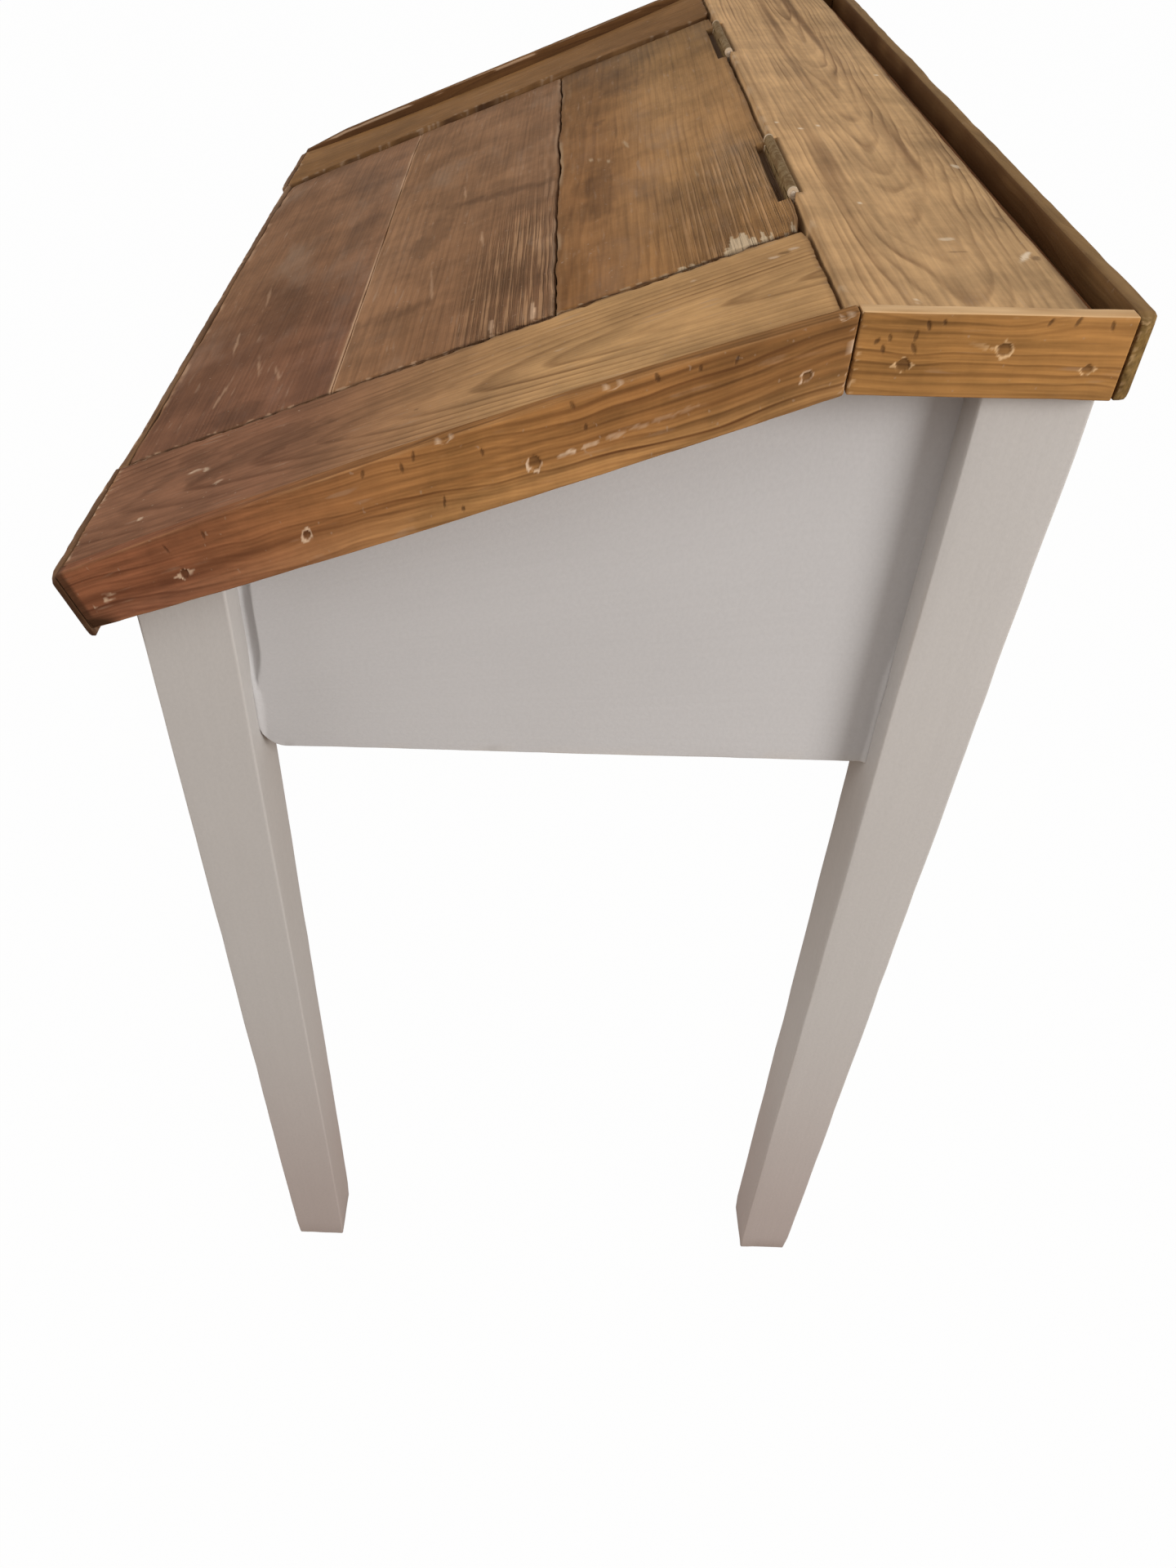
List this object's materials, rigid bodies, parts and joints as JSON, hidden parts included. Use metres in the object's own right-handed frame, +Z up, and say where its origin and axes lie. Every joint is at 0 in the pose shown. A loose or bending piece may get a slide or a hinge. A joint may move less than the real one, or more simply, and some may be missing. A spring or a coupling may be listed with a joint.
{
  "type": "slope-top school desk",
  "caption": "Old pine slope-top school desk: hinged writing lid with end cleats and nailed edge mouldings, fixed shelf with pen trough, storage well and tapered painted legs.",
  "frame": {"origin": "on the floor, under the middle of the closed desk's bounding box", "axes": "+Z up; +Y away from the sitter, towards the shelf and the pen trough; +X to the sitter's right, along the hinge line"},
  "size_m": [0.8, 0.516, 0.8808],
  "materials": {
    "painted_wood": "pale warm grey brushed paint, eggshell",
    "lid_wood": "stripped and waxed old pine, worn",
    "shelf_wood": "stripped and waxed old pine, smooth",
    "moulding_wood": "waxed pine, orange brown, nail holes filled",
    "dark_wood": "old dark stain",
    "raw_wood": "bare sawn pine",
    "iron": "dull dark steel"
  },
  "bodies": {
    "desk": {"back_board": "painted_wood", "back_left_leg": "painted_wood", "back_left_moulding_nail_1": "iron", "back_moulding": "moulding_wood", "back_right_leg": "painted_wood", "back_right_moulding_nail_1": "iron", "bottom_back_board": "raw_wood", "bottom_front_board": "raw_wood", "front_board": "painted_wood", "front_left_leg": "painted_wood", "front_right_leg": "painted_wood", "left_bearer": "raw_wood", "left_end_panel": "painted_wood", "left_hinge_fixed_leaf": "iron", "left_hinge_fixed_screw_1": "iron", "left_hinge_fixed_screw_2": "iron", "left_hinge_pin": "iron", "left_rear_moulding": "moulding_wood", "left_rear_moulding_nail_1": "iron", "left_rear_moulding_nail_2": "iron", "left_rear_moulding_nail_3": "iron", "right_bearer": "raw_wood", "right_end_panel": "painted_wood", "right_hinge_fixed_leaf": "iron", "right_hinge_fixed_screw_1": "iron", "right_hinge_fixed_screw_2": "iron", "right_hinge_pin": "iron", "right_rear_moulding": "moulding_wood", "right_rear_moulding_nail_1": "iron", "right_rear_moulding_nail_2": "iron", "right_rear_moulding_nail_3": "iron", "shelf_board": "shelf_wood", "trough_floor": "dark_wood"},
    "lid": {"left_hinge_moving_leaf": "iron", "left_hinge_moving_screw_1": "iron", "left_hinge_moving_screw_2": "iron", "lid_front_board": "lid_wood", "lid_left_cleat": "lid_wood", "lid_left_lipping": "lid_wood", "lid_left_moulding": "moulding_wood", "lid_left_moulding_nail_1": "iron", "lid_left_moulding_nail_2": "iron", "lid_left_moulding_nail_3": "iron", "lid_left_moulding_nail_4": "iron", "lid_left_moulding_nail_5": "iron", "lid_middle_board": "lid_wood", "lid_middle_lipping": "lid_wood", "lid_rear_board": "lid_wood", "lid_right_cleat": "lid_wood", "lid_right_lipping": "lid_wood", "lid_right_moulding": "moulding_wood", "lid_right_moulding_nail_1": "iron", "lid_right_moulding_nail_2": "iron", "lid_right_moulding_nail_3": "iron", "lid_right_moulding_nail_4": "iron", "lid_right_moulding_nail_5": "iron", "right_hinge_moving_leaf": "iron", "right_hinge_moving_screw_1": "iron", "right_hinge_moving_screw_2": "iron"}
  },
  "joints": [
    {"name": "lid_hinge", "type": "hinge", "parent": "desk", "child": "lid", "pos_m": [0, 0.126, 0.878], "axis": [-1, 0, 0], "range_deg": [0, 115]}
  ]
}
